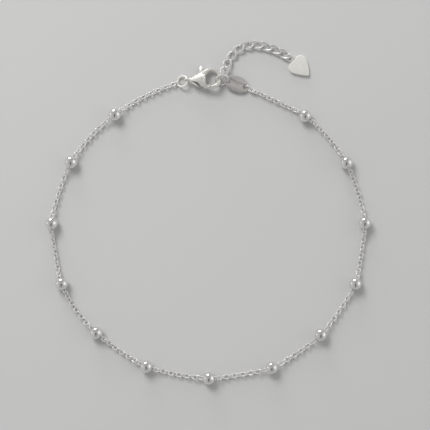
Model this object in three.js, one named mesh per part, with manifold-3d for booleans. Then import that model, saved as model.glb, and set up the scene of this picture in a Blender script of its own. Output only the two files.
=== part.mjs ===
// A beaded chain anklet, fastened and lying flat in a loop. A fine chain carries round beads; its left
// end hangs on a lobster clasp, its right end on an oval tag. The clasp's hook holds the catch ring, and
// from that ring an extender of curb links leads to a heart.
// Millimetres, +Z up, the surface that the anklet lies on is z = 0.
import * as THREE from "three";
import { mergeVertices } from "three/addons/utils/BufferGeometryUtils.js";
import Module from "manifold-3d";

const degrees = THREE.MathUtils.degToRad;

// Fine chain and beads
const BEAD_RADIUS = 1.5;
const BEAD_SIDES = 12;
const BEAD_ROWS = 8;
const BORE_RADIUS = 0.5;
const CHAIN_RADIUS = 0.62; // around the fine links
const CHAIN_SIDES = 8;
const CHAIN_STEPS = 5; // in the span between two beads
const CHAIN_SAMPLES = 24; // of the route in a span
const CHAIN_GAP = 0.12; // between the end of a span and a bead
const SAG_LENGTH = 4.2; // from a bead's middle to where the chain touches the surface
const REST_GAP = 0.01; // between a resting piece and the surface

// The route of the chain, from the clasp round to the tag: a row for each bead, and one for the chain's
// place halfway to the next.
const ROUTE = [
  { x: -8.1, y: 30.4 },
  { x: -15.0, y: 27.5 },
  { x: -22.1, y: 23.1, bead: true },
  { x: -28.0, y: 17.8 },
  { x: -32.5, y: 11.8, bead: true },
  { x: -35.5, y: 4.5 },
  { x: -37.1, y: -2.7, bead: true },
  { x: -36.3, y: -10.0 },
  { x: -34.7, y: -17.0, bead: true },
  { x: -31.3, y: -23.4 },
  { x: -26.5, y: -28.6, bead: true },
  { x: -20.8, y: -33.1 },
  { x: -14.6, y: -36.6, bead: true },
  { x: -7.4, y: -38.6 },
  { x: 0.2, y: -39.41, bead: true },
  { x: 7.8, y: -38.7 },
  { x: 15.1, y: -36.9, bead: true },
  { x: 21.3, y: -33.5 },
  { x: 26.7, y: -29.1, bead: true },
  { x: 31.3, y: -23.4 },
  { x: 34.9, y: -17.0, bead: true },
  { x: 36.4, y: -10.1 },
  { x: 37.1, y: -2.6, bead: true },
  { x: 35.6, y: 4.6 },
  { x: 32.8, y: 11.7, bead: true },
  { x: 28.6, y: 17.6 },
  { x: 23.0, y: 22.8, bead: true },
  { x: 16.4, y: 26.2 },
  { x: 10.5, y: 28.95 },
];

// Jump rings: mean radius, wire radius, place, tilt out of the surface and heading across it
const LEFT_RING = { radius: 1.3, wire: 0.22, x: -6.05, y: 31.0, z: 0.92, tilt: -14, heading: 10, rise: -25 };
const CATCH_RING = { radius: 1.5, wire: 0.22, x: 3.31, y: 31.28, z: 1.33, tilt: 46.9, heading: 4.9, rise: 0 };
const TAG_RING = { radius: 0.78, wire: 0.17, x: 9.52, y: 29.38, z: 0.88, tilt: 61, heading: -35, rise: 0 };
const RING_STEPS = 24;
const WIRE_SIDES = 8;

// Clasp, in its own frame: x from the eye towards the hook, y towards the thumb tab, z through the cheeks
const CLASP = { x: -5.22, y: 31.35, z: 1.4, roll: -16 };
const EYE = { x: 0.25, outer: 0.64, hole: 0.4, halfWidth: 0.36 };
const BODY_ROWS = [
  { x: 0.7, halfHeight: 0.36, halfDepth: 0.4 },
  { x: 1.05, halfHeight: 0.56, halfDepth: 0.5 },
  { x: 1.6, halfHeight: 1.0, halfDepth: 0.72 },
  { x: 2.4, halfHeight: 1.52, halfDepth: 0.93 },
  { x: 3.2, halfHeight: 1.98, halfDepth: 1.08 },
  { x: 4.0, halfHeight: 2.32, halfDepth: 1.17 },
  { x: 4.5, halfHeight: 2.46, halfDepth: 1.17 },
  { x: 4.65, halfHeight: 2.4, halfDepth: 1.08 },
];
const BODY_SIDES = 20;
const BODY_SQUARENESS = 2.3; // exponent of the body's oval section
const HOOK_PATH = [
  { x: 4.2, y: 1.95 },
  { x: 5.1, y: 2.28 },
  { x: 6.2, y: 2.32 },
  { x: 7.2, y: 1.88 },
  { x: 7.78, y: 1.05 },
  { x: 7.92, y: 0.1 },
  { x: 7.68, y: -0.85 },
  { x: 7.05, y: -1.55 },
  { x: 6.1, y: -1.88 },
  { x: 5.5, y: -1.92 },
];
const HOOK_HALF_WIDTH = 0.38;
const HOOK_HALF_DEPTH = 0.62;
const HOOK_STEPS = 22;
const HOOK_SIDES = 12;
const PIVOT = { x: 3.9, y: -0.3 };
const PIN_RADIUS = 0.22;
const PIN_HALF_LENGTH = 1.05;
const PIN_HOLE_RADIUS = 0.28;
const ROUND_SIDES = 16; // of the pin and its holes
const SLOT_HALF_DEPTH = 0.5; // of the space between the cheeks
// The space between the cheeks, and what the near cheek leaves open below the slot
const SLOT_OUTLINE = [
  [3.3, -3.0],
  [3.0, -1.9],
  [2.3, -1.0],
  [1.2, -0.5],
  [3.0, 0.1],
  [0.9, 3.0],
  [4.15, 3.0],
  [4.45, 0.5],
  [4.45, 0.15],
  [5.2, 0.15],
  [5.2, -3.0],
];
const NEAR_OPENING = [
  [1.0, -0.62],
  [2.4, -0.78],
  [2.9, -1.1],
  [3.65, -2.0],
  [4.05, -2.4],
  [4.2, -3.0],
  [3.4, -3.0],
  [3.25, -2.35],
  [2.95, -1.85],
  [2.2, -1.08],
  [1.0, -0.82],
];
const NEAR_DEPTH = { from: 0.4, to: 2 };

// Lever, about its pivot
const LEVER_HALF_DEPTH = 0.4;
const HUB_RADIUS = 0.5;
const STEM = { angle: 96.2, length: 3.8, halfWidth: 0.37 };
const GATE_REACH = 2.42; // from the pivot to the gate's round end
const GATE_TOP = -1.1;
const GATE_BOTTOM = -1.85;
const GATE_CORNERS = [
  [-0.45, -0.2],
  [0.35, -1.75],
  [0.6, GATE_BOTTOM],
];
const GATE_INNER_CORNERS = [
  [1.05, GATE_TOP],
  [0.5, 0.1],
];
// The wedge about the pivot that the gate's end sweeps, which hollows the hook's tip
const TIP_WEDGE = { reach: 2.52, start: -75, stop: -15, halfDepth: 1 };

// Oval tag, drilled near both ends
const TAG = { x: 6.77, y: 30.4, z: 0.88, heading: -19, rise: 3.8, halfLength: 3.0, halfWidth: 1.88 };
const TAG_THICKNESS = 0.3;
const TAG_HOLE = { offset: 2.15, radius: 0.55 };
const TAG_SIDES = 28;
const TAG_HOLE_STEPS = 7;

// Extender: every curb link is an oval of round wire, twisted a quarter turn to the left on its way
const LINK = { halfLength: 1.48, halfWidth: 0.93, wire: 0.24, twist: -90 };
const LINK_PITCH = 2.33;
const LINK_HEIGHT = 0.64;
const LINK_STEPS = 20;
const LINK_SIDES = 6;
const EXTENDER_START = { x: 3.494, y: 31.948, z: 2.4 };
// A row for each link: its heading, its slope down from the ring, and its roll about its own length
const LINK_ROWS = [
  { heading: 76.2, rise: -18.5, roll: 29.6 },
  { heading: 66, rise: -26.6, roll: 18 },
  { heading: 55, rise: 0, roll: 5 },
  { heading: 37.5, rise: 0, roll: 0 },
  { heading: 13, rise: 0, roll: 0 },
  { heading: -5, rise: 0, roll: 0 },
  { heading: -15, rise: 0, roll: 0 },
  { heading: -22, rise: 0, roll: 0 },
  { heading: -30, rise: 0, roll: 0 },
];

// Heart: two round lobes beside its middle line, which runs from the tip to the notch
const HEART = { x: 23.89, y: 32.49, heading: 135, thickness: 0.9, bevel: 0.22 }; // x and y of its tip
const LOBE = { along: 3.65, across: 0.95, radius: 1.47, tangent: 118 };
const HEART_TIP = { along: 0.418, radius: 0.4, slope: 44.8 };
const SIDE_BULGE = { along: 1.16, across: 1.3 }; // control point of the bulging side
const HEART_LOOP = { radius: 0.8, wire: 0.17, x: 19.46, y: 36.66, z: 0.64, tilt: 26, heading: -45 };
const HEART_NECK = { length: 1.5, width: 0.6, height: 0.4 };

const SILVER = { color: 0xd9d7d2, roughness: 0.18 };
const WHITE_SILVER = { color: 0xe6e3dc, roughness: 0.24 };
const DARK_SILVER = { color: 0x9c9a97, roughness: 0.12 };
const SATIN_SILVER = { color: 0xd2d0c8, roughness: 0.38 };

const wasm = await Module();
wasm.setup();

function named(name, geometry, finish) {
  const material = new THREE.MeshStandardMaterial({ ...finish, metalness: 1 });
  const mesh = new THREE.Mesh(geometry, material);
  mesh.name = name;
  return mesh;
}

// A closed geometry as a solid that can be cut and joined.
function solid(geometry) {
  const bare = new THREE.BufferGeometry();
  bare.setAttribute("position", geometry.getAttribute("position"));
  bare.setIndex(geometry.index);
  const merged = mergeVertices(bare, 1e-4);
  return new wasm.Manifold(
    new wasm.Mesh({
      numProp: 3,
      vertProperties: merged.attributes.position.array,
      triVerts: new Uint32Array(merged.index.array),
    }),
  );
}

function geometryOf(manifold) {
  const mesh = manifold.getMesh();
  const geometry = new THREE.BufferGeometry();
  geometry.setAttribute("position", new THREE.BufferAttribute(mesh.vertProperties, 3));
  geometry.setIndex(new THREE.BufferAttribute(mesh.triVerts, 1));
  const faceted = geometry.toNonIndexed();
  faceted.computeVertexNormals();
  return faceted;
}

function oval(radiusX, radiusY, sides) {
  const points = [];
  for (let i = 0; i < sides; i++) {
    const angle = (2 * Math.PI * i) / sides;
    points.push(new THREE.Vector2(radiusX * Math.cos(angle), radiusY * Math.sin(angle)));
  }
  return new THREE.Shape(points);
}

// A flat shape as a prism, centred on z = 0.
function prism(shape, halfDepth, curveSegments = 8) {
  const geometry = new THREE.ExtrudeGeometry(shape, {
    depth: 2 * halfDepth,
    bevelEnabled: false,
    curveSegments,
  });
  return geometry.translate(0, 0, -halfDepth);
}

function rod(radius, halfLength, sides) {
  return prism(oval(radius, radius, sides), halfLength);
}

function routePoint(row) {
  return new THREE.Vector3(row.x, row.y, 0);
}

const route = new THREE.CatmullRomCurve3(ROUTE.map(routePoint), false, "centripetal");
const beadRows = ROUTE.map((row, index) => ({ ...row, index })).filter((row) => row.bead);

// Height of the chain's middle at a distance from the nearest bead.
function chainHeight(distance) {
  const low = CHAIN_RADIUS + REST_GAP;
  const fall = THREE.MathUtils.smoothstep(distance, BEAD_RADIUS, SAG_LENGTH);
  return THREE.MathUtils.lerp(BEAD_RADIUS, low, fall);
}

function beadGeometry() {
  const halfBore = Math.sqrt(BEAD_RADIUS ** 2 - BORE_RADIUS ** 2);
  const start = Math.atan2(BORE_RADIUS, halfBore);
  const profile = [];
  for (let i = 0; i <= BEAD_ROWS; i++) {
    const angle = THREE.MathUtils.lerp(Math.PI - start, start, i / BEAD_ROWS);
    profile.push(new THREE.Vector2(BEAD_RADIUS * Math.sin(angle), BEAD_RADIUS * Math.cos(angle)));
  }
  profile.push(profile[0].clone());
  return new THREE.LatheGeometry(profile, BEAD_SIDES).rotateZ(-Math.PI / 2);
}

function bead(row, number) {
  const mesh = named("bead_" + String(number).padStart(2, "0"), beadGeometry(), SILVER);
  const tangent = route.getTangent(row.index / (ROUTE.length - 1));
  mesh.position.set(row.x, row.y, BEAD_RADIUS);
  mesh.rotation.z = Math.atan2(tangent.y, tangent.x);
  return mesh;
}

// The stretch of chain from one route row to another, lifted to the beads at its ends.
function chainSpan(from, to, number) {
  const flat = [];
  for (let i = 0; i <= CHAIN_SAMPLES; i++) {
    const row = THREE.MathUtils.lerp(from, to, i / CHAIN_SAMPLES);
    flat.push(route.getPoint(row / (ROUTE.length - 1)));
  }
  const beadEnds = [from, to].filter((index) => ROUTE[index].bead).map((index) => routePoint(ROUTE[index]));
  const clear = BEAD_RADIUS + CHAIN_GAP;
  const points = flat.filter((point) => beadEnds.every((end) => end.distanceTo(point) > clear));
  for (const point of points) {
    point.z = chainHeight(Math.min(...beadEnds.map((end) => end.distanceTo(point))));
  }
  const path = new THREE.CatmullRomCurve3(points);
  const geometry = new THREE.ExtrudeGeometry(oval(CHAIN_RADIUS, CHAIN_RADIUS, CHAIN_SIDES), {
    steps: CHAIN_STEPS,
    extrudePath: path,
  });
  return named("chain_" + String(number).padStart(2, "0"), geometry, SILVER);
}

function jumpRing(name, ring) {
  const geometry = new THREE.TorusGeometry(ring.radius, ring.wire, WIRE_SIDES, RING_STEPS);
  const mesh = named(name, geometry, SILVER);
  mesh.position.set(ring.x, ring.y, ring.z);
  mesh.rotation.set(degrees(ring.tilt), degrees(ring.rise), degrees(ring.heading), "ZYX");
  return mesh;
}

// The clasp body's bulging shell: oval rings along x, closed at both ends.
function bodyGeometry() {
  const positions = [];
  const indices = [];
  const power = (value) => Math.sign(value) * Math.abs(value) ** (2 / BODY_SQUARENESS);
  for (const row of BODY_ROWS) {
    for (let i = 0; i < BODY_SIDES; i++) {
      const angle = (2 * Math.PI * i) / BODY_SIDES;
      positions.push(row.x, row.halfHeight * power(Math.cos(angle)), row.halfDepth * power(Math.sin(angle)));
    }
  }
  const lastRing = (BODY_ROWS.length - 1) * BODY_SIDES;
  for (let ring = 0; ring < lastRing; ring += BODY_SIDES) {
    for (let i = 0; i < BODY_SIDES; i++) {
      const next = (i + 1) % BODY_SIDES;
      indices.push(ring + i, ring + next, ring + BODY_SIDES + next);
      indices.push(ring + i, ring + BODY_SIDES + next, ring + BODY_SIDES + i);
    }
  }
  for (let i = 1; i < BODY_SIDES - 1; i++) {
    indices.push(0, i + 1, i);
    indices.push(lastRing, lastRing + i, lastRing + i + 1);
  }
  const geometry = new THREE.BufferGeometry();
  geometry.setAttribute("position", new THREE.Float32BufferAttribute(positions, 3));
  geometry.setIndex(indices);
  return geometry;
}

function hookGeometry() {
  const points = HOOK_PATH.map((row) => new THREE.Vector3(row.x, row.y, 0));
  return new THREE.ExtrudeGeometry(oval(HOOK_HALF_DEPTH, HOOK_HALF_WIDTH, HOOK_SIDES), {
    steps: HOOK_STEPS,
    extrudePath: new THREE.CatmullRomCurve3(points),
  });
}

function tipWedge() {
  const { reach, start, stop, halfDepth } = TIP_WEDGE;
  const shape = new THREE.Shape();
  shape.absarc(PIVOT.x, PIVOT.y, reach, degrees(start), degrees(stop), false);
  shape.lineTo(PIVOT.x, PIVOT.y);
  return prism(shape, halfDepth);
}

function eyeGeometry() {
  const { outer, hole, halfWidth } = EYE;
  const profile = [
    new THREE.Vector2(hole, -halfWidth),
    new THREE.Vector2(outer, -halfWidth),
    new THREE.Vector2(outer, halfWidth),
    new THREE.Vector2(hole, halfWidth),
    new THREE.Vector2(hole, -halfWidth),
  ];
  return new THREE.LatheGeometry(profile, BODY_SIDES).translate(EYE.x, 0, 0);
}

function polygon(corners) {
  return new THREE.Shape(corners.map(([x, y]) => new THREE.Vector2(x, y)));
}

function claspBody() {
  const slot = prism(polygon(SLOT_OUTLINE), SLOT_HALF_DEPTH);
  const opening = prism(polygon(NEAR_OPENING), (NEAR_DEPTH.to - NEAR_DEPTH.from) / 2);
  opening.translate(0, 0, (NEAR_DEPTH.to + NEAR_DEPTH.from) / 2);
  const pinHole = rod(PIN_HOLE_RADIUS, 2 * PIN_HALF_LENGTH, ROUND_SIDES).translate(PIVOT.x, PIVOT.y, 0);
  const hook = solid(hookGeometry()).subtract(solid(tipWedge()));
  const cheeks = solid(bodyGeometry()).subtract(solid(slot)).subtract(solid(opening));
  const body = cheeks.subtract(solid(pinHole)).add(hook).add(solid(eyeGeometry()));
  return named("clasp_body", geometryOf(body), WHITE_SILVER);
}

function gateOutline() {
  const bottomAngle = Math.asin(GATE_BOTTOM / GATE_REACH);
  const topAngle = Math.asin(GATE_TOP / GATE_REACH);
  const shape = polygon(GATE_CORNERS);
  shape.absarc(0, 0, GATE_REACH, bottomAngle, topAngle, false);
  for (const [x, y] of GATE_INNER_CORNERS) shape.lineTo(x, y);
  return shape;
}

function claspLever() {
  const stem = new THREE.BoxGeometry(STEM.length, 2 * STEM.halfWidth, 2 * LEVER_HALF_DEPTH);
  stem.translate(STEM.length / 2, 0, 0).rotateZ(degrees(STEM.angle));
  const gate = solid(prism(gateOutline(), LEVER_HALF_DEPTH));
  const hub = solid(rod(HUB_RADIUS, LEVER_HALF_DEPTH, BODY_SIDES));
  const hole = solid(rod(PIN_HOLE_RADIUS, 2 * LEVER_HALF_DEPTH, ROUND_SIDES));
  const lever = gate.add(hub).add(solid(stem)).subtract(hole);
  const mesh = named("clasp_lever", geometryOf(lever), WHITE_SILVER);
  mesh.position.set(PIVOT.x, PIVOT.y, 0);
  return mesh;
}

function claspPin() {
  const mesh = named("clasp_pin", rod(PIN_RADIUS, PIN_HALF_LENGTH, ROUND_SIDES), WHITE_SILVER);
  mesh.position.set(PIVOT.x, PIVOT.y, 0);
  return mesh;
}

function clasp() {
  const group = new THREE.Group();
  group.add(claspBody(), claspLever(), claspPin());
  group.position.set(CLASP.x, CLASP.y, CLASP.z);
  group.rotation.x = degrees(CLASP.roll);
  return group;
}

function tag() {
  const shape = oval(TAG.halfLength, TAG.halfWidth, TAG_SIDES);
  for (const side of [-1, 1]) {
    const hole = new THREE.Path();
    hole.absarc(side * TAG_HOLE.offset, 0, TAG_HOLE.radius, 0, 2 * Math.PI, true);
    shape.holes.push(hole);
  }
  const mesh = named("tag", prism(shape, TAG_THICKNESS / 2, TAG_HOLE_STEPS), DARK_SILVER);
  mesh.position.set(TAG.x, TAG.y, TAG.z);
  mesh.rotation.set(0, degrees(TAG.rise), degrees(TAG.heading), "ZYX");
  return mesh;
}

class CurbPath extends THREE.Curve {
  getPoint(t, target = new THREE.Vector3()) {
    const angle = 2 * Math.PI * t;
    const along = Math.cos(angle);
    const across = LINK.halfWidth * Math.sin(angle);
    const roll = (degrees(LINK.twist) / 2) * along;
    return target.set(LINK.halfLength * along, across * Math.cos(roll), across * Math.sin(roll));
  }
}

function extender() {
  const links = [];
  const joint = new THREE.Vector3(EXTENDER_START.x, EXTENDER_START.y, EXTENDER_START.z);
  for (const [index, row] of LINK_ROWS.entries()) {
    const geometry = new THREE.TubeGeometry(new CurbPath(), LINK_STEPS, LINK.wire, LINK_SIDES, true);
    const link = named("extender_link_" + String(index + 1).padStart(2, "0"), geometry, SILVER);
    link.rotation.set(degrees(row.roll), degrees(-row.rise), degrees(row.heading), "ZYX");
    if (row.rise === 0) joint.z = LINK_HEIGHT;
    const forward = new THREE.Vector3(LINK_PITCH, 0, 0).applyEuler(link.rotation);
    link.position.copy(joint).addScaledVector(forward, 0.5);
    joint.add(forward);
    links.push(link);
  }
  return links;
}

// The heart's outline from its tip along +x.
function heartShape() {
  const { along, across, radius } = LOBE;
  const tangent = degrees(LOBE.tangent);
  const notch = Math.asin(across / radius);
  const round = degrees(90 + HEART_TIP.slope);
  const shape = new THREE.Shape();
  shape.absarc(HEART_TIP.along, 0, HEART_TIP.radius, round, 2 * Math.PI - round, false);
  const lobeStart = new THREE.Vector2(radius, 0).rotateAround(new THREE.Vector2(), -tangent);
  shape.quadraticCurveTo(SIDE_BULGE.along, -SIDE_BULGE.across, along + lobeStart.x, lobeStart.y - across);
  shape.absarc(along, -across, radius, -tangent, notch, false);
  shape.absarc(along, across, radius, -notch, tangent, false);
  const tipSide = new THREE.Vector2(HEART_TIP.radius, 0).rotateAround(new THREE.Vector2(), round);
  shape.quadraticCurveTo(SIDE_BULGE.along, SIDE_BULGE.across, HEART_TIP.along + tipSide.x, tipSide.y);
  return shape;
}

function heart() {
  const plate = new THREE.ExtrudeGeometry(heartShape(), {
    depth: HEART.thickness - 2 * HEART.bevel,
    bevelThickness: HEART.bevel,
    bevelSize: HEART.bevel,
    bevelOffset: -HEART.bevel,
    bevelSegments: 2,
    curveSegments: 8,
  });
  plate.rotateZ(degrees(HEART.heading)).translate(HEART.x, HEART.y, HEART.bevel + REST_GAP);
  const loop = new THREE.TorusGeometry(HEART_LOOP.radius, HEART_LOOP.wire, WIRE_SIDES, RING_STEPS);
  loop.rotateX(degrees(HEART_LOOP.tilt)).rotateZ(degrees(HEART_LOOP.heading));
  loop.translate(HEART_LOOP.x, HEART_LOOP.y, HEART_LOOP.z);
  const notch = new THREE.Vector2(LOBE.along + Math.sqrt(LOBE.radius ** 2 - LOBE.across ** 2), 0);
  notch.rotateAround(new THREE.Vector2(), degrees(HEART.heading));
  notch.add(new THREE.Vector2(HEART.x, HEART.y));
  const neck = new THREE.BoxGeometry(HEART_NECK.length, HEART_NECK.width, HEART_NECK.height);
  neck.rotateZ(Math.atan2(notch.y - HEART_LOOP.y, notch.x - HEART_LOOP.x));
  neck.translate(notch.x, notch.y, HEART_LOOP.z);
  return named("heart", geometryOf(solid(plate).add(solid(loop)).add(solid(neck))), SATIN_SILVER);
}

const anklet = new THREE.Group();
const stops = [0, ...beadRows.map((row) => row.index), ROUTE.length - 1];
beadRows.forEach((row, index) => anklet.add(bead(row, index + 1)));
stops.slice(1).forEach((stop, index) => anklet.add(chainSpan(stops[index], stop, index + 1)));
anklet.add(jumpRing("left_ring", LEFT_RING));
anklet.add(clasp());
anklet.add(jumpRing("catch_ring", CATCH_RING));
anklet.add(tag());
anklet.add(jumpRing("tag_ring", TAG_RING));
anklet.add(...extender());
anklet.add(heart());

export default anklet;
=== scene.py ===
"""A beaded chain anklet, fastened and lying in a loop on a pale surface.

Pieces are modelled in millimetres and set down in metres, many of them at the middles of their
parts in model.glb.
"""

import math
import random

import bpy
from mathutils import Euler, Matrix, Vector


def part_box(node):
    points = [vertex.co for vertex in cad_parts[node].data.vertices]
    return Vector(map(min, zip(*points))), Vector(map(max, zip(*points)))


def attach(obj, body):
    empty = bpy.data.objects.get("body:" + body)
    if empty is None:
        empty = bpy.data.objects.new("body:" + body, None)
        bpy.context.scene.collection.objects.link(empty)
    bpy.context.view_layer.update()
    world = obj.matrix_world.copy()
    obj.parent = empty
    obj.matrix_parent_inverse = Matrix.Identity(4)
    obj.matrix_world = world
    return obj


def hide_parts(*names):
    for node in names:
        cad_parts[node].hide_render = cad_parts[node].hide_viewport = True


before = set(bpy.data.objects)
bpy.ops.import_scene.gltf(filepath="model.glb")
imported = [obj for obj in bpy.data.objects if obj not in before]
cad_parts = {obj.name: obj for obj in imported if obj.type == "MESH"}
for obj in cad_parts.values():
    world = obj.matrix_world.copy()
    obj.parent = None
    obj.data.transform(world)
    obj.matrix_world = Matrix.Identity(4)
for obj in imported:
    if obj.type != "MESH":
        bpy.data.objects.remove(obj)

bl_info = {
    "name": "Beaded chain anklet",
    "version": (1, 0, 0),
    "blender": (4, 5, 0),
    "location": "3D View > Sidebar > Anklet",
    "description": "Models a fine silver anklet with its beads, clasp, tag, extender and heart",
    "category": "Object",
}

MM = 0.001

# Where the fine chain lies, in millimetres, from the clasp round to the tag; True marks a bead.
ROUTE = [
    (-8.1, 30.4, False),
    (-15.0, 27.5, False),
    (-22.1, 23.1, True),
    (-28.0, 17.8, False),
    (-32.5, 11.8, True),
    (-35.5, 4.5, False),
    (-37.1, -2.7, True),
    (-36.3, -10.0, False),
    (-34.7, -17.0, True),
    (-31.3, -23.4, False),
    (-26.5, -28.6, True),
    (-20.8, -33.1, False),
    (-14.6, -36.6, True),
    (-7.4, -38.6, False),
    (0.2, -39.41, True),
    (7.8, -38.7, False),
    (15.1, -36.9, True),
    (21.3, -33.5, False),
    (26.7, -29.1, True),
    (31.3, -23.4, False),
    (34.9, -17.0, True),
    (36.4, -10.1, False),
    (37.1, -2.6, True),
    (35.6, 4.6, False),
    (32.8, 11.7, True),
    (28.6, 17.6, False),
    (23.0, 22.8, True),
    (16.4, 26.2, False),
    (10.5, 28.95, False),
]
ROUTE_STEPS = 40  # samples between two rows of the route
SAG_LENGTH = 4.2  # from a bead's middle to where the chain touches the surface
LOW_CHAIN = 0.6  # height of a resting link's middle
NARROW_REACH = 1.68  # links nearer than this to a bead's middle run in its bore
NARROWING = 0.87
LOOSE_ROLL = 7  # degrees either way that a loose link may be rolled
LOOSE_SHIFT = 0.03  # and how far it may lie off the line
# The links that hold the left ring and the tag's ring: place, heading, rise and roll
FIRST_LINK = ((-7.347, 30.445, 0.492), 188.8, 7.1, -35.8)
LAST_LINK = ((10.36, 28.933, 0.667), -8.7, -5, -43)

# Jump rings: mean radius, wire radius, tilt, rise and heading in degrees
LEFT_RING = (1.3, 0.22, -14, -25, 10)
CATCH_RING = (1.5, 0.205, 46.9, 0, 4.9)
TAG_RING = (0.78, 0.17, 61, 0, -35)

RIM_ROUND = 0.06  # of a bead's bore
LEVEL = 0.01  # ends of a level edge differ by less than this in height

# The clasp's own frame: x from the eye to the hook, y towards the thumb tab, z through the cheeks
CLASP_PLACE = (-5.22, 31.35, 1.4)
CLASP_ROLL = -16
EYE = (0.25, 0.52, 0.17)  # x, mean radius, wire radius
EYE_STRETCH = 1.9
BODY_ROWS = [  # x, half height, half depth
    (0.55, 0.28, 0.34),
    (0.8, 0.4, 0.42),
    (1.15, 0.62, 0.54),
    (1.6, 1.0, 0.72),
    (2.4, 1.52, 0.93),
    (3.2, 1.98, 1.08),
    (4.0, 2.32, 1.17),
    (4.45, 2.46, 1.19),
    (4.62, 2.44, 1.12),
    (4.68, 2.34, 1.0),
]
SLOT_HALF_DEPTH = 0.5
SLOT_OUTLINE = [
    (3.3, -3.0),
    (3.0, -1.9),
    (2.3, -1.0),
    (1.2, -0.5),
    (1.9, -0.2),
    (3.0, 0.1),
    (2.4, 1.0),
    (0.9, 3.0),
    (4.15, 3.0),
    (4.45, 0.5),
    (4.45, 0.15),
    (5.2, 0.15),
    (5.2, -3.0),
]
OPENING_HALF_DEPTH = 0.9
OPENING_HEIGHT = 1.25
NEAR_OPENING = [  # the crescent that the near cheek leaves open into the slot
    (0.9, -0.62),
    (1.7, -0.68),
    (2.4, -0.78),
    (2.9, -1.1),
    (3.3, -1.55),
    (3.65, -2.0),
    (4.05, -2.4),
    (4.2, -3.0),
    (3.4, -3.0),
    (3.25, -2.35),
    (2.95, -1.85),
    (2.6, -1.42),
    (2.2, -1.08),
    (1.7, -0.93),
    (0.9, -0.82),
]
HOOK_STRETCH = 1.6  # of the hook's depth to its wire
HOOK_PATH = [  # x, y, wire radius
    (4.1, 1.2, 0.6),
    (4.45, 1.62, 0.62),
    (5.05, 2.14, 0.54),
    (5.7, 2.36, 0.45),
    (6.35, 2.34, 0.41),
    (7.2, 1.92, 0.39),
    (7.78, 1.07, 0.38),
    (7.93, 0.1, 0.4),
    (7.7, -0.85, 0.44),
    (7.08, -1.55, 0.47),
    (6.1, -1.87, 0.45),
    (5.5, -1.92, 0.42),
]
PIVOT = (3.9, -0.3)
TIP_REACH = 2.52  # from the pivot to the hook's hollowed tip
PIN = (0.235, 1.12)  # radius, half length
PIN_DOME = 0.1
BODY_BORE = 0.25
LEVER_BORE = 0.28

GATE_REACH = 2.42
GATE_EDGES = (-1.85, -1.1)  # below the pivot, at the gate's end
GATE_INNER = [(-0.45, -0.2), (0.35, -1.75), (0.6, -1.85)]  # from the pivot
GATE_OUTER = [(1.05, -1.1), (0.5, 0.1)]
LEVER_HALF_DEPTH = 0.4
HUB_RADIUS = 0.5
STEM_HALF = [(0.4, 0), (0.4, 2.3), (0.35, 3.35), (0.24, 3.8), (0.08, 3.97)]  # from the pivot
STEM_DROPS = ((3.3, 0.42), (3.7, 0.2))  # beyond each place the tab is lower by so much
STEM_HEADING = 6.2

LINK_PITCH = 2.33
LINK_HEIGHT = 0.64
LINK_FLATNESS = 0.5  # of the wire's thickness to its width
EXTENDER_START = (3.494, 31.92, 2.41)
LINK_ROWS = [  # heading, rise, roll in degrees
    (76.2, -18.5, 29.6),
    (66, -26.6, 18),
    (55, 0, 5),
    (37.5, 0, 0),
    (13, 0, 0),
    (-5, 0, 0),
    (-15, 0, 0),
    (-22, 0, 0),
    (-30, 0, 0),
]

TAG_HALF_SIZE = (3.0, 1.88)
TAG_HOLE = (2.15, 0.55)  # from the middle, radius
TAG_ROUND = 0.07  # of its edges
TAG_HEADING = -19
TAG_RISE = 3.8
HEART_TIP = (23.89, 32.49)
HEART_HEADING = 135  # from the tip to the notch
LOBE = (3.65, 0.95, 1.47)  # middle along and across the heart's middle line, radius
LOBE_TANGENT = 118
TIP_ROUND = (0.418, 0.4, 44.8)  # place, radius and slope of its sides
SIDE_BULGE = (1.16, 1.3)
HEART_LIFT = 0.01
HEART_ROUND = 0.22  # of its edges
NECK = (1.5, 0.5, 0.4)  # the solder between heart and loop
NECK_ROUND = 0.12
HEART_LOOP = (19.46, 36.66, 0.64)
LOOP_WIRE = (0.8, 0.2)  # mean radius, wire radius
LOOP_HEADING = -45
LOOP_TILT = 26

CURB_SHADE = 0.88  # of the extender's silver to the chain's

# Polishing scratches in two directions: stretch, turn in degrees, where they begin and end
SCRATCHES = (
    ((0.9, 14.0, 3.0), (0, 20, 35), 0.62, 0.7),
    ((14.0, 0.8, 3.0), (10, 0, 15), 0.63, 0.71),
)

CAMERA_PLACE = (1.66, -0.71)
CAMERA_HEIGHT = 0.2845  # in metres, as the stage is
WALL_GLOW = 0.4
SIDE_GLOW = 0.22  # more towards the sides
BAR_SIDES = (0.01, 0.05)  # where the dark bar under the ceiling fades out
BAR_NEAR = (-0.15, 0.2)
BAR_FAR = (-0.85, -0.6)
BAR_DARKNESS = 0.8

# Panels that show in the metal: turn, height, inner and outer radius in degrees, strength
PANELS = (
    (105, 8, 8, 18, 6.0),
    (8, 25, 14, 32, 0.45),
    (173, 9, 3, 7, 1.5),
)


def metres(value):
    return value * MM


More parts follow.
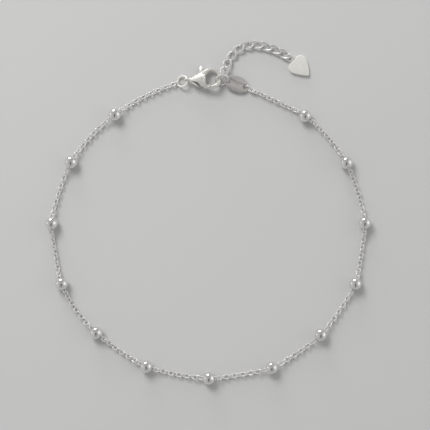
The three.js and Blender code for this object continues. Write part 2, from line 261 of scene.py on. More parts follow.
class AnkletSizes(bpy.types.PropertyGroup):
    """Sizes of the anklet's pieces."""

    bead_diameter: bpy.props.FloatProperty(
        name="Bead diameter", description="Across a round bead", unit="LENGTH",
        default=2 * metres(1.5), precision=5,
    )
    bead_bore: bpy.props.FloatProperty(
        name="Bead bore", description="Across the hole that the chain runs through", unit="LENGTH",
        default=metres(1.3), precision=5,
    )
    chain_pitch: bpy.props.FloatProperty(
        name="Chain pitch", description="From one fine link to the next", unit="LENGTH",
        default=metres(0.95), precision=5,
    )
    chain_wire: bpy.props.FloatProperty(
        name="Chain wire", description="Across the wire of a fine link", unit="LENGTH",
        default=metres(0.3), precision=5,
    )
    link_length: bpy.props.FloatProperty(
        name="Fine link length", description="Outer length of a fine link", unit="LENGTH",
        default=metres(1.62), precision=5,
    )
    link_width: bpy.props.FloatProperty(
        name="Fine link width", description="Outer width of a fine link", unit="LENGTH",
        default=metres(1.42), precision=5,
    )
    extender_length: bpy.props.FloatProperty(
        name="Extender link length", description="Length of a curb link, between wire middles",
        unit="LENGTH", default=metres(2.95), precision=5,
    )
    extender_width: bpy.props.FloatProperty(
        name="Extender link width", description="Width of a curb link, between wire middles",
        unit="LENGTH", default=metres(1.73), precision=5,
    )
    extender_wire: bpy.props.FloatProperty(
        name="Extender wire", description="Width of the flattened wire of a curb link",
        unit="LENGTH", default=metres(0.57), precision=5,
    )
    tag_thickness: bpy.props.FloatProperty(
        name="Tag thickness", description="Thickness of the oval tag", unit="LENGTH",
        default=metres(0.3), precision=5,
    )
    heart_thickness: bpy.props.FloatProperty(
        name="Heart thickness", description="Thickness of the heart", unit="LENGTH",
        default=metres(0.9), precision=5,
    )
    seed: bpy.props.IntProperty(
        name="Lay", description="Changes how the fine links happen to lie", default=4,
    )


class AnkletFinishes(bpy.types.PropertyGroup):
    """Colours and polish of the anklet's metal."""

    silver: bpy.props.FloatVectorProperty(
        name="Silver", description="Colour of the chain, extender, rings and beads",
        subtype="COLOR", default=(0.9, 0.89, 0.87), min=0, max=1,
    )
    clasp: bpy.props.FloatVectorProperty(
        name="Clasp silver", description="Colour of the cast clasp", subtype="COLOR",
        default=(0.9, 0.88, 0.835), min=0, max=1,
    )
    tag: bpy.props.FloatVectorProperty(
        name="Tag silver", description="Colour of the rolled tag", subtype="COLOR",
        default=(0.86, 0.83, 0.8), min=0, max=1,
    )
    satin: bpy.props.FloatVectorProperty(
        name="Satin silver", description="Colour of the heart and the left ring", subtype="COLOR",
        default=(0.95, 0.94, 0.88), min=0, max=1,
    )
    floor: bpy.props.FloatVectorProperty(
        name="Surface", description="Colour of the surface underneath", subtype="COLOR",
        default=(0.6, 0.6, 0.595), min=0, max=1,
    )


SETTINGS = {"anklet_sizes": AnkletSizes, "anklet_finishes": AnkletFinishes}


# Shader nodes


class Signal:
    """A shader socket that takes part in arithmetic as a number does."""

    def __init__(self, shader, node, output):
        self.shader = shader
        self.node = node
        self.socket = node.outputs[output] if node.outputs else None

    def out(self, name):
        return Signal(self.shader, self.node, name)

    def math(self, operation, first, second):
        return self.shader.add("ShaderNodeMath", {"operation": operation}, {0: first, 1: second})

    def __add__(self, other):
        return self.math("ADD", self, other)

    def __radd__(self, other):
        return self.math("ADD", other, self)

    def __sub__(self, other):
        return self.math("SUBTRACT", self, other)

    def __rsub__(self, other):
        return self.math("SUBTRACT", other, self)

    def __mul__(self, other):
        return self.math("MULTIPLY", self, other)

    def __rmul__(self, other):
        return self.math("MULTIPLY", other, self)

    def between(self, low, high):
        """0 below low, 1 above high and smooth from one to the other."""
        settings = {"interpolation_type": "SMOOTHSTEP"}
        sockets = {"Value": self, "From Min": low, "From Max": high}
        return self.shader.add("ShaderNodeMapRange", settings, sockets)


class Shader:
    """The nodes of one finish, light or sky."""

    def __init__(self, tree):
        self.tree = tree
        tree.nodes.clear()

    def add(self, kind, settings=None, sockets=None, output=0):
        """A node: its settings first, then the values or links of its sockets."""
        node = self.tree.nodes.new(kind)
        for name, value in (settings or {}).items():
            setattr(node, name, value)
        for name, value in (sockets or {}).items():
            if isinstance(value, Signal):
                self.tree.links.new(value.socket, node.inputs[name])
            else:
                node.inputs[name].default_value = value
        return Signal(self, node, output)

    def place(self, scale=(1.0, 1.0, 1.0), turn=(0.0, 0.0, 0.0)):
        """Places on the piece in millimetres, stretched by scale after a turn in degrees."""
        spot = self.add("ShaderNodeTexCoord", output="Object")
        turned = {"Vector": spot, "Rotation": [math.radians(angle) for angle in turn]}
        facing = self.add("ShaderNodeMapping", sockets=turned)
        stretch = {"Vector": facing, "Scale": [factor / MM for factor in scale]}
        return self.add("ShaderNodeMapping", sockets=stretch)

    def noise(self, place, scale, detail=2.0, rough=0.5):
        sockets = {"Vector": place, "Scale": scale, "Detail": detail, "Roughness": rough}
        return self.add("ShaderNodeTexNoise", {"normalize": True}, sockets)

    def blend(self, share, first, second):
        """A colour from first, where share is 0, to second, where it is 1."""
        sockets = {0: share, 6: first, 7: second}
        return self.add("ShaderNodeMix", {"data_type": "RGBA"}, sockets, output=2)

    def finish(self, surface):
        self.add("ShaderNodeOutputMaterial", sockets={"Surface": surface})


def opaque(colour, share=1.0):
    return (*[share * part for part in colour], 1.0)


def metal(name, colour, roughness, unevenness, scratches, ripple, metallic, lines=None):
    """A polished metal: uneven brightness, faint scratches, a slight ripple and perhaps lines."""
    if name in bpy.data.materials:
        return bpy.data.materials[name]
    material = bpy.data.materials.new(name)
    material.use_nodes = True
    shader = Shader(material.node_tree)
    cloud = shader.noise(shader.place(), 1.3, 3.0, 0.6)
    grain = shader.noise(shader.place(), 9.0, 3.0, 0.6)
    first, second = [
        shader.noise(shader.place(stretch, turn), 1.0, 2.0).between(low, high)
        for stretch, turn, low, high in SCRATCHES
    ]
    marks = 0.5 * (first + second)
    share = cloud.between(0.3, 0.7)
    tone = shader.blend(share, opaque(colour, 1 - 2 * unevenness), opaque(colour))
    height = ripple * cloud + 0.12 * grain + 0.1 * marks
    if lines is not None:
        bands = shader.noise(shader.place((0.15, 5.0, 0.15), (0, 0, -lines)), 1.0, 1.0)
        streak = bands.between(0.4, 0.62)
        tone = shader.blend(0.35 * streak, tone, opaque(colour, 0.6))
        height = height + 0.06 * streak
    relief = {"Strength": 0.35, "Distance": metres(0.02), "Height": height}
    normal = shader.add("ShaderNodeBump", sockets=relief)
    polish = roughness + scratches * marks + unevenness * (share - 0.5)
    surface = {"Base Color": tone, "Metallic": metallic, "Roughness": polish, "Normal": normal}
    shader.finish(shader.add("ShaderNodeBsdfPrincipled", sockets=surface))
    return material


def finish_of(kind):
    """One of the anklet's metals."""
    colours = bpy.context.scene.anklet_finishes
    curb = [CURB_SHADE * part for part in colours.silver]
    # name, colour, roughness, unevenness, scratches, ripple, share of metal
    finishes = {
        "bead": ("Polished silver", colours.silver, 0.1, 0.05, 0.08, 0.1, 1.0),
        "wire": ("Drawn silver", colours.silver, 0.38, 0.05, 0.1, 0.2, 0.62),
        "curb": ("Curb silver", curb, 0.42, 0.05, 0.1, 0.2, 0.62),
        "clasp": ("Cast silver", colours.clasp, 0.46, 0.04, 0.08, 0.2, 0.8),
        "tag": ("Rolled silver", colours.tag, 0.3, 0.05, 0.1, 0.2, 0.85, TAG_HEADING),
        "satin": ("Satin silver", colours.satin, 0.5, 0.03, 0.05, 0.1, 0.45),
    }
    return metal(*finishes[kind])


# Working by hand: choosing, shaping and finishing pieces


def put_down():
    if bpy.context.mode != "OBJECT":
        bpy.ops.object.mode_set(mode="OBJECT")
    bpy.ops.object.select_all(action="DESELECT")


def take(*pieces):
    """Selects only these pieces, with the last of them active."""
    put_down()
    for piece in pieces:
        piece.select_set(True)
    bpy.context.view_layer.objects.active = pieces[-1]
    return pieces[-1]


def fresh(shape, **where):
    """A new primitive with its place in its mesh."""
    put_down()
    getattr(bpy.ops.mesh, "primitive_" + shape + "_add")(**where)
    bpy.ops.object.transform_apply(location=True, rotation=True, scale=True)
    return bpy.context.object


def edit(piece, kind="VERT", wanted=None):
    """Opens a piece for editing with the parts of one kind selected that wanted() accepts."""
    take(piece)
    mesh = piece.data
    kinds = {"VERT": mesh.vertices, "EDGE": mesh.edges, "FACE": mesh.polygons}
    bpy.context.tool_settings.mesh_select_mode = [kind == name for name in kinds]
    for parts in kinds.values():
        parts.foreach_set("select", [False] * len(parts))
    for part in kinds[kind]:
        part.select = wanted is None or wanted(part)
    bpy.ops.object.mode_set(mode="EDIT")


def close():
    bpy.ops.object.mode_set(mode="OBJECT")


def ends(piece, edge):
    return [piece.data.vertices[index].co for index in edge.vertices]


def level(piece, edge):
    """True for an edge that runs level, as those round a flat piece's faces do."""
    a, b = ends(piece, edge)
    return abs(a.z - b.z) < LEVEL


def soften(piece, wanted, offset, segments=3):
    """Rounds the edges that wanted() accepts."""
    edit(piece, "EDGE", wanted)
    bpy.ops.mesh.bevel(offset=offset, segments=segments, affect="EDGES")
    close()


def nudge(piece, wanted, shift, reach):
    """Pushes part of a piece, and what is within reach of it less and less."""
    edit(piece, "VERT", wanted)
    bpy.ops.transform.translate(
        value=shift, use_proportional_edit=True,
        proportional_edit_falloff="SMOOTH", proportional_size=reach,
    )
    close()


def outward(piece):
    """Merges doubles and turns every face to the outside."""
    edit(piece)
    bpy.ops.mesh.select_all(action="SELECT")
    bpy.ops.mesh.remove_doubles(threshold=1e-4)
    bpy.ops.mesh.normals_make_consistent(inside=False)
    close()
    return piece


def modify(piece, kind, **settings):
    """Adds a modifier and applies it."""
    take(piece)
    bpy.ops.object.modifier_add(type=kind)
    modifier = piece.modifiers[-1]
    for name, value in settings.items():
        setattr(modifier, name, value)
    bpy.ops.object.modifier_apply(modifier=modifier.name)
    return piece


def combine(piece, tool, operation):
    modify(piece, "BOOLEAN", operation=operation, solver="EXACT", object=tool)
    bpy.data.objects.remove(tool)
    return piece


def turned(*angles):
    return Euler([math.radians(angle) for angle in angles], "XYZ").to_matrix().to_4x4()


def moved(piece, matrix):
    """Moves a piece and puts its new place into its mesh."""
    take(piece)
    piece.matrix_world = matrix
    bpy.ops.object.transform_apply(location=True, rotation=True, scale=True)
    return piece


def copied(piece):
    twin = piece.copy()
    twin.data = piece.data.copy()
    bpy.context.scene.collection.objects.link(twin)
    return twin


def joined(pieces):
    take(*pieces)
    if len(pieces) > 1:
        bpy.ops.object.join()
    return pieces[-1]


def set_down(piece, name, metal_kind, body="root", crease=60):
    """Brings a finished piece to its real size, names it and gives it its metal and its body."""
    moved(piece, Matrix.Scale(MM, 4))
    bpy.ops.object.shade_smooth_by_angle(angle=math.radians(crease))
    piece.name = piece.data.name = name
    piece.data.materials.clear()
    piece.data.materials.append(finish_of(metal_kind))
    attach(piece, body)
    return piece


def middle(node):
    """The middle of a node's box, in millimetres."""
    low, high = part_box(node)
    return (low + high) / (2 * MM)


# Fine chain


def route_piece(row, share):
    """A place on the route between two of its rows, on a centripetal curve through them all."""
    rows = [Vector(place[:2]) for place in ROUTE]
    before = rows[row - 1] if row else 2 * rows[0] - rows[1]
    after = rows[row + 2] if row + 2 < len(rows) else 2 * rows[-1] - rows[-2]
    first, second = rows[row], rows[row + 1]
    sides = ((before, first), (first, second), (second, after))
    start, span, stop = [math.sqrt((b - a).length) for a, b in sides]
    leave = (first - before) / start - (second - before) / (start + span) + (second - first) / span
    reach = (second - first) / span - (after - first) / (span + stop) + (after - second) / stop
    leave, reach = leave * span, reach * span
    square, cube = share**2, share**3
    bend = (2 * cube - 3 * square + 1) * first + (3 * square - 2 * cube) * second
    return bend + (cube - 2 * square + share) * leave + (cube - square) * reach


def chain_height(spot):
    """Height of the chain's middle: at a bead it is in the bore, and it sags from there."""
    beads = [Vector(row[:2]) for row in ROUTE if row[2]]
    distance = min((spot - bead).length for bead in beads)
    bore = middle("bead_01").z
    fall = min(max((distance - bore) / (SAG_LENGTH - bore), 0), 1)
    fall = fall * fall * (3 - 2 * fall)
    return bore + (LOW_CHAIN - bore) * fall


def chain_span(start, stop):
    """The chain's middle line from one row of the route to another."""
    points = []
    for row in range(start, stop):
        for step in range(ROUTE_STEPS):
            points.append(route_piece(row, step / ROUTE_STEPS))
    points.append(route_piece(stop - 1, 1.0))
    return [Vector((*point, chain_height(point))) for point in points]


def evenly(points, pitch):
    """Places and directions on a line, half a pitch from its ends and about a pitch apart."""
    steps = [(b - a).length for a, b in zip(points, points[1:])]
    count = max(1, round(sum(steps) / pitch))
    places = []
    passed, index = 0.0, 0
    for number in range(count):
        goal = (number + 0.5) * sum(steps) / count
        while passed + steps[index] < goal:
            passed += steps[index]
            index += 1
        share = (goal - passed) / steps[index]
        direction = (points[index + 1] - points[index]).normalized()
        places.append((points[index].lerp(points[index + 1], share), direction))
    return places


def standing(place, heading, rise, roll):
    """A place for a link that points along its heading and rise and is rolled about itself."""
    return Matrix.Translation(place) @ turned(roll, -rise, heading)


def angles_of(direction):
    """Heading and rise of a direction, in degrees."""
    heading = math.atan2(direction.y, direction.x)
    rise = math.atan2(direction.z, math.hypot(direction.x, direction.y))
    return math.degrees(heading), math.degrees(rise)


def fine_link(sizes):
    """An oval of round wire, lying flat about the origin."""
    put_down()
    wire = sizes.chain_wire / MM / 2
    bpy.ops.curve.primitive_bezier_circle_add(radius=1.0)
    link = bpy.context.object
    link.data.resolution_u = 3
    link.data.bevel_depth = wire
    link.data.bevel_resolution = 1
    half_length = sizes.link_length / MM / 2 - wire
    half_width = sizes.link_width / MM / 2 - wire
    bpy.ops.object.mode_set(mode="EDIT")
    bpy.ops.transform.resize(value=(half_length, half_width, 1.0))
    close()
    bpy.ops.object.convert(target="MESH")
    return outward(bpy.context.object)


def laid(link, place):
    """A copy of a link at its place."""
    twin = copied(link)
    twin.matrix_world = place
    return twin


class ANKLET_OT_chain(bpy.types.Operator):
    """Lays the fine chain, link by link, from the clasp through the beads to the tag"""

    bl_idname = "anklet.chain"
    bl_label = "Fine chain"

    def execute(self, context):
        sizes = context.scene.anklet_sizes
        link = fine_link(sizes)
        pitch = sizes.chain_pitch / MM
        half_pitch = Vector((pitch / 2, 0, 0))
        chance = random.Random(sizes.seed)
        rows = [0, *[index for index, row in enumerate(ROUTE) if row[2]], len(ROUTE) - 1]
        beads = [Vector(row[:2]) for row in ROUTE if row[2]]
        side = 1
        for number, (start, stop) in enumerate(zip(rows, rows[1:]), 1):
            links = []
            line = chain_span(start, stop)
            if start == 0:
                links.append(laid(link, standing(*FIRST_LINK)))
                reach = standing(*FIRST_LINK) @ half_pitch
                line = [reach, *[point for point in line if point.x < reach.x]]
            if stop == len(ROUTE) - 1:
                links.append(laid(link, standing(*LAST_LINK)))
                reach = standing(*LAST_LINK) @ half_pitch
                line = [*[point for point in line if point.x > reach.x], reach]
            for place, direction in evenly(line, pitch):
                inside = min((place.xy - bead).length for bead in beads) < NARROW_REACH
                loose = 0.0 if inside else 1.0
                roll = side * 45 + loose * chance.uniform(-LOOSE_ROLL, LOOSE_ROLL)
                drift = Vector((chance.uniform(-1, 1), chance.uniform(-1, 1), 0))
                place = place + drift * LOOSE_SHIFT * loose
                narrow = NARROWING if inside else 1
                stand = standing(place, *angles_of(direction), roll)
                links.append(laid(link, stand @ Matrix.Diagonal((1, narrow, narrow, 1))))
                side = -side
            span = joined(links)
            bpy.ops.object.transform_apply(location=True, rotation=True, scale=True)
            set_down(span, f"fine_chain_{number:02d}", "wire", crease=180)
            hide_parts(f"chain_{number:02d}")
        bpy.data.objects.remove(link)
        return {"FINISHED"}


# Beads


def turned_bead(sizes):
    """A ball about the origin, drilled along X, with softened rims."""
    radius = sizes.bead_diameter / MM / 2
    bore = sizes.bead_bore / MM / 2
    bead = fresh("uv_sphere", segments=48, ring_count=32, radius=radius)
    edit(bead, "FACE", lambda face: Vector(face.center).xy.length < bore)
    bpy.ops.mesh.delete(type="FACE")
    close()
    edit(bead, "EDGE", lambda edge: False)
    bpy.ops.mesh.select_non_manifold()
    bpy.ops.mesh.bridge_edge_loops()
    close()
    inner = min(vertex.co.xy.length for vertex in bead.data.vertices)

    def rim(edge):
        a, b = ends(bead, edge)
        return max(a.xy.length, b.xy.length) < inner + LEVEL and level(bead, edge)

    soften(bead, rim, RIM_ROUND)
    edit(bead)
    bpy.ops.transform.rotate(value=math.pi / 2, orient_axis="Y", center_override=(0, 0, 0))
    close()
    return outward(bead)


class ANKLET_OT_beads(bpy.types.Operator):
    """Turns one drilled bead and threads its copies on the chain"""

    bl_idname = "anklet.beads"
    bl_label = "Beads"

    def execute(self, context):
        bead = turned_bead(context.scene.anklet_sizes)
        marked = [index for index, row in enumerate(ROUTE) if row[2]]
        for number, index in enumerate(marked, 1):
            node = f"bead_{number:02d}"
            direction = route_piece(index, 0.02) - route_piece(index - 1, 0.98)
            heading = math.degrees(math.atan2(direction.y, direction.x))
            place = Matrix.Translation(middle(node)) @ turned(37 * number, 0, heading)
            twin = moved(copied(bead), place)
            set_down(twin, f"round_bead_{number:02d}", "bead")
            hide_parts(node)
        bpy.data.objects.remove(bead)
        return {"FINISHED"}


# Jump rings


def wire_ring(radius, wire, cut=3.0):
    """A ring of round wire about the origin, with a fine cut of so many degrees at its +X side."""
    section = {"vertices": 16, "radius": wire, "fill_type": "NGON"}
    ring = fresh("circle", location=(radius, 0, 0), rotation=(math.pi / 2, 0, 0), **section)
    edit(ring)
    turn = math.radians(360 - cut)
    bpy.ops.mesh.spin(steps=56, angle=turn, center=(0, 0, 0), axis=(0, 0, 1))
    close()
    edit(ring, "EDGE", lambda edge: False)
    bpy.ops.mesh.select_non_manifold(use_wire=False, use_multi_face=False, use_verts=False)
    bpy.ops.mesh.edge_face_add()
    close()
    return outward(ring)


class ANKLET_OT_rings(bpy.types.Operator):
    """Bends the three jump rings"""

    bl_idname = "anklet.rings"
    bl_label = "Jump rings"

    def execute(self, context):
        rows = (
            ("left_ring", LEFT_RING, 150, "satin"),
            ("catch_ring", CATCH_RING, 250, "wire"),
            ("tag_ring", TAG_RING, 60, "wire"),
        )
        for node, (radius, wire, tilt, rise, heading), cut_at, kind in rows:
            ring = wire_ring(radius, wire)
            stand = turned(tilt, rise, heading) @ turned(0, 0, cut_at)
            place = Matrix.Translation(middle(node)) @ stand
            set_down(moved(ring, place), node.replace("_ring", "_jump_ring"), kind)
            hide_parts(node)
        return {"FINISHED"}


# Clasp


def clasp_place():
    return Matrix.Translation(CLASP_PLACE) @ turned(CLASP_ROLL, 0, 0)


def plate(outline, half_depth):
    """A flat plate cut to an outline, halfway on each side of z = 0."""
    piece = fresh("circle", vertices=len(outline), radius=1.0, fill_type="NGON")
    for vertex, (x, y) in zip(piece.data.vertices, outline):
        vertex.co = (x, y, -half_depth)
    edit(piece, "FACE")
    bpy.ops.mesh.extrude_region_move(TRANSFORM_OT_translate={"value": (0, 0, 2 * half_depth)})
    close()
    return outward(piece)


def pin_rod(radius, half_length):
    """A round rod on the lever's axis."""
    place = (*PIVOT, 0)
    return fresh("cylinder", vertices=32, radius=radius, depth=2 * half_length, location=place)


def arc(centre, reach, start, stop, steps):
    """Points on an arc, with its angles in degrees."""
    points = []
    for step in range(steps + 1):
        angle = math.radians(start + (stop - start) * step / steps)
        points.append((centre[0] + reach * math.cos(angle), centre[1] + reach * math.sin(angle)))
    return points


def clasp_shell():
    """The bulging body: an oval, extruded and widened row by row."""
    x, height, depth = BODY_ROWS[0]
    section = {"vertices": 32, "radius": 1.0, "fill_type": "NGON"}
    shell = fresh("circle", rotation=(0, math.pi / 2, 0), **section)
    edit(shell, "FACE")
    bpy.ops.transform.translate(value=(x, 0, 0))
    bpy.ops.transform.resize(value=(1, height, depth), center_override=(x, 0, 0))
    for row in BODY_ROWS[1:]:
        bpy.ops.mesh.extrude_region_move(TRANSFORM_OT_translate={"value": (row[0] - x, 0, 0)})
        wider = (1, row[1] / height, row[2] / depth)
        bpy.ops.transform.resize(value=wider, center_override=(row[0], 0, 0))
        x, height, depth = row
    close()
    outward(shell)
    nudge(shell, lambda vertex: vertex.co.z > 0.4 and 1.3 < vertex.co.x < 2.9, (0, -0.32, 0), 0.9)
    return modify(shell, "SUBSURF", levels=2)


def wire_along(path, stretch):
    """Round wire along a path of (x, y, radius), deepened in z by stretch."""
    put_down()
    bpy.ops.curve.primitive_bezier_curve_add()
    wire = bpy.context.object
    wire.data.bevel_depth = 1.0
    wire.data.bevel_resolution = 6
    wire.data.resolution_u = 8
    wire.data.use_fill_caps = True
    points = wire.data.splines[0].bezier_points
    points.add(len(path) - len(points))
    for point, (x, y, radius) in zip(points, path):
        point.co = (x, y, 0)
        point.radius = radius
        point.handle_left_type = point.handle_right_type = "AUTO"
    bpy.ops.object.convert(target="MESH")
    wire = outward(bpy.context.object)
    return moved(wire, Matrix.Diagonal((1, 1, stretch, 1)))


def cast(pieces, grain, softness):
    """Casts pieces that overlap as one, with soft edges."""
    whole = joined(pieces)
    modify(whole, "REMESH", mode="VOXEL", voxel_size=grain, use_smooth_shade=True)
    return modify(whole, "SMOOTH", factor=0.5, iterations=softness)


class ANKLET_OT_clasp(bpy.types.Operator):
    """Casts the clasp's body: its shell with the slot, the hook and the eye"""

    bl_idname = "anklet.clasp"
    bl_label = "Clasp body"

    def execute(self, context):
        shell = combine(clasp_shell(), plate(SLOT_OUTLINE, SLOT_HALF_DEPTH), "DIFFERENCE")
        opening = plate(NEAR_OPENING, OPENING_HALF_DEPTH)
        combine(shell, moved(opening, Matrix.Translation((0, 0, OPENING_HEIGHT))), "DIFFERENCE")
        combine(shell, pin_rod(BODY_BORE, 2.0), "DIFFERENCE")
        hook = wire_along(HOOK_PATH, HOOK_STRETCH)
        nudge(hook, lambda vertex: vertex.co.x < 5.3 and vertex.co.y > 0, (0, 0, 0.2), 1.9)
        combine(hook, plate(SLOT_OUTLINE, SLOT_HALF_DEPTH), "DIFFERENCE")
        wedge = plate([PIVOT, *arc(PIVOT, TIP_REACH, -75, -15, 12)], 1.0)
        combine(hook, wedge, "DIFFERENCE")
        x, radius, wire = EYE
        eye = fresh(
            "torus", major_radius=radius, minor_radius=wire, major_segments=48,
            minor_segments=20, location=(x, 0, 0), rotation=(math.pi / 2, 0, 0),
        )
        edit(eye)
        bpy.ops.mesh.select_all(action="SELECT")
        bpy.ops.transform.resize(value=(1, EYE_STRETCH, 1), center_override=(x, 0, 0))
        close()
        body = cast([eye, hook, shell], grain=0.05, softness=8)
        set_down(moved(body, clasp_place()), "lobster_body", "clasp")
        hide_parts("clasp_body")
        return {"FINISHED"}


def from_pivot(points):
    return [(PIVOT[0] + x, PIVOT[1] + y) for x, y in points]


class ANKLET_OT_lever(bpy.types.Operator):
    """Makes the clasp's lever, with its thumb tab and gate in one piece"""

    bl_idname = "anklet.lever"
    bl_label = "Clasp lever"

    def execute(self, context):
        low, high = [math.degrees(math.asin(edge / GATE_REACH)) for edge in GATE_EDGES]
        outline = from_pivot(GATE_INNER) + arc(PIVOT, GATE_REACH, low, high, 8)
        gate = plate(outline + from_pivot(GATE_OUTER), LEVER_HALF_DEPTH)
        hub = pin_rod(HUB_RADIUS, LEVER_HALF_DEPTH)
        stem = plate([(-x, y) for x, y in STEM_HALF] + STEM_HALF[::-1], LEVER_HALF_DEPTH)
        for reach, drop in STEM_DROPS:
            edit(stem, "VERT", lambda vertex: vertex.co.y > reach and vertex.co.z > -0.3)
            bpy.ops.transform.translate(value=(0, 0, -drop))
            close()
        moved(stem, Matrix.Translation((*PIVOT, 0)) @ turned(0, 0, STEM_HEADING))
        lever = cast([gate, hub, stem], grain=0.04, softness=6)
        combine(lever, pin_rod(LEVER_BORE, 1.0), "DIFFERENCE")
        set_down(moved(lever, clasp_place()), "lobster_lever", "clasp", "lever")
        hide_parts("clasp_lever")
        return {"FINISHED"}


class ANKLET_OT_pin(bpy.types.Operator):
    """Sets the clasp's rivet, domed at both ends"""

    bl_idname = "anklet.pin"
    bl_label = "Clasp pin"

    def execute(self, context):
        pin = pin_rod(*PIN)
        soften(pin, lambda edge: abs(sum(end.z for end in ends(pin, edge))) > 2.0, PIN_DOME, 4)
        outward(pin)
        set_down(moved(pin, clasp_place()), "lobster_pin", "clasp", crease=40)
        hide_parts("clasp_pin")
        return {"FINISHED"}


# Tag


class ANKLET_OT_tag(bpy.types.Operator):
    """Blanks the oval tag and drills it at both ends"""

    bl_idname = "anklet.tag"
    bl_label = "Oval tag"

    def execute(self, context):
        thickness = context.scene.anklet_sizes.tag_thickness / MM
        tag = fresh("cylinder", vertices=96, radius=1.0, depth=thickness)
        moved(tag, Matrix.Diagonal((*TAG_HALF_SIZE, 1, 1)))
        offset, radius = TAG_HOLE
        for side in (-1, 1):
            place = (side * offset, 0, 0)
            drill = fresh("cylinder", vertices=40, radius=radius, depth=2, location=place)
            combine(tag, drill, "DIFFERENCE")
        outward(tag)
        soften(tag, lambda edge: level(tag, edge), TAG_ROUND)
        place = Matrix.Translation(middle("tag")) @ turned(0, TAG_RISE, TAG_HEADING)
        set_down(moved(tag, place), "oval_tag", "tag", crease=35)
        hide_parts("tag")
        return {"FINISHED"}


# Extender


def curb_link(sizes):
    """An oval of flattened wire, twisted a quarter turn from end to end."""
    put_down()
    bpy.ops.curve.primitive_bezier_circle_add(radius=1.0)
    link = bpy.context.object
    wire = sizes.extender_wire / MM / 2
    half_length = sizes.extender_length / MM / 2
    link.data.resolution_u = 16
    link.data.bevel_depth = wire
    link.data.bevel_resolution = 5
    bpy.ops.object.mode_set(mode="EDIT")
    bpy.ops.transform.resize(value=(half_length, sizes.extender_width / MM / 2, 1.0))
    close()
    bpy.ops.object.convert(target="MESH")
    link = moved(outward(bpy.context.object), Matrix.Diagonal((1, 1, LINK_FLATNESS, 1)))
    twist = -math.pi / 2 * (half_length + wire) / half_length
    return modify(link, "SIMPLE_DEFORM", deform_method="TWIST", deform_axis="X", angle=twist)


class ANKLET_OT_extender(bpy.types.Operator):
    """Links the nine curb links of the extender"""

    bl_idname = "anklet.extender"
    bl_label = "Extender"

    def execute(self, context):
        link = curb_link(context.scene.anklet_sizes)
        joint = Vector(EXTENDER_START)
        for number, (heading, rise, roll) in enumerate(LINK_ROWS, 1):
            if rise == 0:
                joint.z = LINK_HEIGHT
            turn = turned(roll, -rise, heading)
            forward = turn @ Vector((LINK_PITCH, 0, 0))
            twin = moved(copied(link), Matrix.Translation(joint + forward / 2) @ turn)
            joint += forward
            set_down(twin, f"curb_link_{number:02d}", "curb")
            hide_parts(f"extender_link_{number:02d}")
        bpy.data.objects.remove(link)
        return {"FINISHED"}


# Heart


def curve(start, control, stop, steps=10):
    """Points after start on a curve that bends towards its control point."""
    points = []
    for step in range(1, steps + 1):
        share = step / steps
        points.append(tuple(
            (1 - share) ** 2 * a + 2 * share * (1 - share) * b + share**2 * c
            for a, b, c in zip(start, control, stop)
        ))
    return points


def heart_outline():
    """Half of the heart, from its tip to its notch, and its mirror image."""
    along, across, radius = LOBE
    place, round_radius, slope = TIP_ROUND
    half = arc((place, 0), round_radius, 180, 270 - slope, 6)
    notch = math.degrees(math.asin(across / radius))
    lobe = arc((along, -across), radius, -LOBE_TANGENT, notch, 32)
    bulge = (SIDE_BULGE[0], -SIDE_BULGE[1])
    half += curve(half[-1], bulge, lobe[0]) + lobe[1:]
    return half + [(x, -y) for x, y in half[-2:0:-1]]


class ANKLET_OT_heart(bpy.types.Operator):
    """Cuts the heart with its two lobes and solders its loop on"""

    bl_idname = "anklet.heart"
    bl_label = "Heart"

    def execute(self, context):
        thickness = context.scene.anklet_sizes.heart_thickness / MM
        heart = plate(heart_outline(), thickness / 2)
        soften(heart, lambda edge: level(heart, edge), HEART_ROUND, 5)
        tip = Matrix.Translation((*HEART_TIP, thickness / 2 + HEART_LIFT))
        place = tip @ turned(0, 0, HEART_HEADING)
        moved(heart, place)
        notch = place @ Vector((LOBE[0] + math.sqrt(LOBE[2] ** 2 - LOBE[1] ** 2), 0, 0))
        away = notch.xy - Vector(HEART_LOOP[:2])
        heading = math.degrees(math.atan2(away.y, away.x))
        neck = fresh("cube", size=1.0)
        moved(neck, Matrix.Diagonal((*NECK, 1)))
        soften(neck, lambda edge: True, NECK_ROUND)
        moved(neck, Matrix.Translation((*notch.xy, HEART_LOOP[2])) @ turned(0, 0, heading))
        combine(heart, neck, "UNION")
        set_down(heart, "heart_charm", "satin", crease=40)
        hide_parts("heart")
        loop = wire_ring(*LOOP_WIRE, cut=0.6)
        stand = turned(0, 0, LOOP_HEADING) @ turned(LOOP_TILT, 0, 0)
        moved(loop, Matrix.Translation(HEART_LOOP) @ stand)
        set_down(loop, "heart_loop", "wire")
        return {"FINISHED"}


# Stage


def floor_finish(colour):
    material = bpy.data.materials.new("Pale paper")
    material.use_nodes = True
    shader = Shader(material.node_tree)
    broad = shader.noise(shader.place(), 0.006, 2.0)
    grain = shader.noise(shader.place(), 4.0, 3.0)
    tone = shader.blend(broad.between(0.3, 0.7), opaque(colour, 0.985), opaque(colour, 1.0))
    relief = {"Strength": 0.1, "Distance": metres(0.02), "Height": grain}
    surface = {
        "Base Color": tone,
        "Roughness": 0.85,
        "Specular IOR Level": 0.2,
        "Normal": shader.add("ShaderNodeBump", sockets=relief),
    }
    shader.finish(shader.add("ShaderNodeBsdfPrincipled", sockets=surface))
    return material


def heading_of(turn, height):
    """The direction at a turn from +X and a height above the surface, in degrees."""
    turn, height = math.radians(turn), math.radians(height)
    flat = math.cos(height)
    return Vector((math.cos(turn) * flat, math.sin(turn) * flat, math.sin(height)))


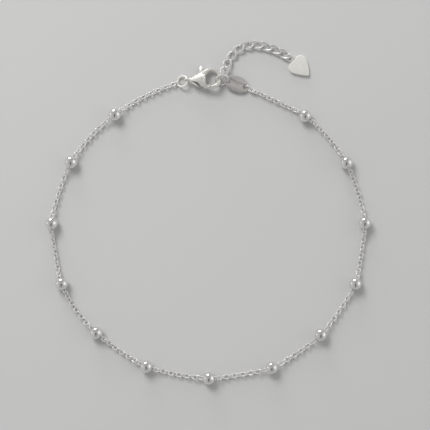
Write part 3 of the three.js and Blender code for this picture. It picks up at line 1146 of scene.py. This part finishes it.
def soft_light(name, turn, height, distance, size, power):
    """A soft square light that faces the anklet and doesn't show in polished metal."""
    data = bpy.data.lights.new(name, "AREA")
    data.size = size
    data.energy = power
    lamp = bpy.data.objects.new(name, data)
    bpy.context.scene.collection.objects.link(lamp)
    away = heading_of(turn, height)
    lamp.location = distance * away
    lamp.rotation_euler = (-away).to_track_quat("-Z", "Y").to_euler()
    lamp.visible_glossy = False
    lamp.visible_camera = False


def studio_sky():
    """A pale studio round the anklet, with brighter walls, soft panels and a dark bar."""
    world = bpy.data.worlds.new("Studio")
    world.use_nodes = True
    bpy.context.scene.world = world
    shader = Shader(world.node_tree)
    ray = shader.add("ShaderNodeTexCoord", output="Generated")
    across = shader.add("ShaderNodeSeparateXYZ", sockets={0: ray}, output="X")
    along = across.out("Y")
    glow = WALL_GLOW + SIDE_GLOW * across * across
    for turn, height, inner, outer, strength in PANELS:
        product = {"operation": "DOT_PRODUCT"}
        towards = {0: ray, 1: heading_of(turn, height)}
        facing = shader.add("ShaderNodeVectorMath", product, towards, "Value")
        edge, core = [math.cos(math.radians(angle)) for angle in (outer, inner)]
        glow = glow + strength * facing.between(edge, core)
    bar = (1 - (across * across).between(*BAR_SIDES)) * (1 - along.between(*BAR_NEAR))
    bar = bar * along.between(*BAR_FAR)
    glow = glow * (1 - BAR_DARKNESS * bar)
    white = {"Color": opaque((1, 1, 1)), "Strength": glow}
    light = shader.add("ShaderNodeBackground", sockets=white)
    shader.add("ShaderNodeOutputWorld", sockets={"Surface": light})


class ANKLET_OT_stage(bpy.types.Operator):
    """Sets up the surface, the camera straight above and the soft lights"""

    bl_idname = "anklet.stage"
    bl_label = "Stage"

    def execute(self, context):
        floor = fresh("plane", size=6.0)
        edit(floor)
        bpy.ops.mesh.subdivide(number_cuts=3)
        close()
        floor.name = "pale_surface"
        floor.data.materials.append(floor_finish(context.scene.anklet_finishes.floor))
        studio_sky()
        soft_light("key_light", turn=122, height=43, distance=0.7, size=0.3, power=3.0)
        data = bpy.data.cameras.new("camera")
        data.lens = 100
        data.sensor_width = 36
        data.clip_start, data.clip_end = 0.01, 20
        camera = bpy.data.objects.new("camera", data)
        context.scene.collection.objects.link(camera)
        camera.location = (*[metres(place) for place in CAMERA_PLACE], CAMERA_HEIGHT)
        context.scene.camera = camera
        context.scene.view_settings.view_transform = "Standard"
        return {"FINISHED"}


class ANKLET_PT_panel(bpy.types.Panel):
    """Lists the steps that make the anklet, and its sizes and finishes"""

    bl_label = "Beaded anklet"
    bl_idname = "ANKLET_PT_panel"
    bl_space_type = "VIEW_3D"
    bl_region_type = "UI"
    bl_category = "Anklet"

    def draw(self, context):
        for step in STEPS:
            self.layout.operator(step.bl_idname)
        for name, group in SETTINGS.items():
            box = self.layout.box()
            for prop in group.__annotations__:
                box.prop(getattr(context.scene, name), prop)


STEPS = (
    ANKLET_OT_beads,
    ANKLET_OT_chain,
    ANKLET_OT_rings,
    ANKLET_OT_clasp,
    ANKLET_OT_lever,
    ANKLET_OT_pin,
    ANKLET_OT_tag,
    ANKLET_OT_extender,
    ANKLET_OT_heart,
    ANKLET_OT_stage,
)


def register():
    for kind in (*SETTINGS.values(), *STEPS, ANKLET_PT_panel):
        bpy.utils.register_class(kind)
    for name, group in SETTINGS.items():
        setattr(bpy.types.Scene, name, bpy.props.PointerProperty(type=group))


def unregister():
    for name in SETTINGS:
        delattr(bpy.types.Scene, name)
    for kind in reversed((*SETTINGS.values(), *STEPS, ANKLET_PT_panel)):
        bpy.utils.unregister_class(kind)


def main():
    """Makes every piece in order."""
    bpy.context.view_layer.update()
    register()
    for step in STEPS:
        family, name = step.bl_idname.split(".")
        getattr(getattr(bpy.ops, family), name)()


if __name__ == "__main__":
    main()
